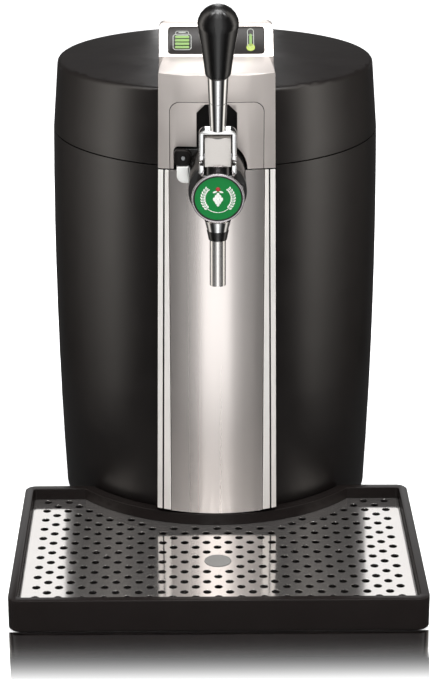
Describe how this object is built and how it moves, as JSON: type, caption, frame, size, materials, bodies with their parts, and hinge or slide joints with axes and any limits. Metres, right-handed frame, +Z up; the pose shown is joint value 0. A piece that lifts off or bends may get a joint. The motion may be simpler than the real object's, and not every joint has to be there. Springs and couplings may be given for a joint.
{
  "type": "mini keg beer dispenser",
  "caption": "Chilled countertop dispenser for a small beer keg: barrel body, hinged lid with display, lever tap and a loose drip tray with a perforated grate.",
  "frame": {"origin": "on the table under the middle of the whole machine, drip tray included", "axes": "+Z up, -Y towards the user, where the tap and the tray are, +X to the user's right"},
  "size_m": [0.32, 0.45, 0.469],
  "materials": {
    "body_black": "satin black moulded ABS",
    "tray_black": "satin black moulded ABS",
    "base_black": "moulded ABS",
    "foot_rubber": "soft rubber",
    "panel_steel": "brushed vertically",
    "fascia_silver": "satin silver lacquer",
    "trim_silver": "bright plated",
    "grate_steel": "polished stainless steel",
    "target_grey": "grey insert",
    "liner_plastic": "pale moulded polystyrene",
    "foam": "rigid insulating foam",
    "gasket_rubber": "soft seal",
    "alloy": "extruded",
    "ceramic": "white ceramic plates",
    "fan_black": "moulded PBT",
    "zinc_steel": "zinc plated steel",
    "board_green": "solder mask",
    "tap_chrome": "bright chrome plate",
    "tap_black": "gloss black",
    "knob_black": "polished phenolic",
    "badge_green": "printed disc under clear resin",
    "badge_silver": "satin ring",
    "spout_plastic": "satin silver plastic",
    "tube_clear": "clear beer tube",
    "valve_white": "acetal",
    "spring_steel": "spring wire",
    "clip_white": "white acetal",
    "window_dark": "smoked window",
    "icon_green": "lit symbol",
    "icon_lime": "lit symbol"
  },
  "bodies": {
    "housing": {"base_plate": "base_black", "feet": "foot_rubber", "outer_shell": "body_black", "rear_cover": "body_black", "cover_screws": "zinc_steel", "fascia_carrier": "base_black", "fascia_panel": "panel_steel", "fascia_rails": "trim_silver", "chamber_liner": "liner_plastic", "insulation_jacket": "foam", "chamber_collar": "base_black", "lid_gasket": "gasket_rubber", "cold_plate": "alloy", "peltier_module": "ceramic", "heat_sink": "alloy", "fan_frame": "fan_black", "fan_screws": "zinc_steel", "power_supply": "zinc_steel", "control_board": "board_green", "temperature_sensor": "zinc_steel", "mains_inlet": "fan_black", "hinge_brackets": "base_black", "hinge_pins": "zinc_steel", "tap_bracket": "zinc_steel", "tap_housing": "tap_black", "tap_barrel": "tap_chrome", "tap_boss_ring": "tap_black", "tap_cradle": "tap_chrome", "tap_screws": "zinc_steel", "badge_ring": "badge_silver", "badge_disc": "badge_green", "spout_cone": "tap_chrome", "spout_seal_ring": "tap_black", "spout_tube": "spout_plastic", "beer_tube": "tube_clear", "valve_spring": "spring_steel", "latch_pin": "zinc_steel", "tube_clip": "clip_white"},
    "lid": {"lid_shell": "body_black", "lid_fascia": "fascia_silver", "tap_surround": "fascia_silver", "display_window": "window_dark", "keg_icon": "icon_green", "thermometer_icon": "icon_lime", "display_board": "board_green", "lid_liner": "liner_plastic", "lid_foam": "foam", "lid_hinge_arms": "body_black"},
    "lever": {"lever_yoke": "tap_chrome", "lever_stem": "tap_chrome", "lever_knob": "knob_black", "lever_pins": "zinc_steel"},
    "valve": {"valve_plunger": "valve_white"},
    "latch": {"latch_arm": "tap_black"},
    "rotor": {"fan_rotor": "fan_black"},
    "tray": {"drip_tray": "tray_black"},
    "grate": {"drip_grate": "grate_steel", "target_disc": "target_grey"}
  },
  "joints": [
    {"name": "lid_hinge", "type": "hinge", "parent": "housing", "child": "lid", "pos_m": [0, 0.21172, 0.313], "axis": [-1, 0, 0], "range_deg": [0, 85]},
    {"name": "lever_pull", "type": "hinge", "parent": "housing", "child": "lever", "pos_m": [0, -0.135, 0.348], "axis": [1, 0, 0], "range_deg": [0, 45]},
    {"name": "valve_lift", "type": "slide", "parent": "housing", "child": "valve", "axis": [0, 0, 1], "range_m": [0, 0.004], "deforming": ["valve_spring"]},
    {"name": "latch_turn", "type": "hinge", "parent": "housing", "child": "latch", "pos_m": [-0.026, -0.075, 0.3305], "axis": [0, 1, 0], "range_deg": [0, 75]},
    {"name": "fan_spin", "type": "hinge", "parent": "housing", "child": "rotor", "pos_m": [0, 0.18, 0.19], "axis": [0, 1, 0], "continuous": true},
    {"name": "tray_slide", "type": "slide", "parent": "housing", "child": "tray", "axis": [0, -1, 0], "range_m": [0, 0.1]},
    {"name": "grate_lift", "type": "slide", "parent": "tray", "child": "grate", "axis": [0, 0, 1], "range_m": [0, 0.009]}
  ],
  "couplings": [
    {"joint": "valve_lift", "follows": "lever_pull", "m_per_rad": 0.005}
  ]
}
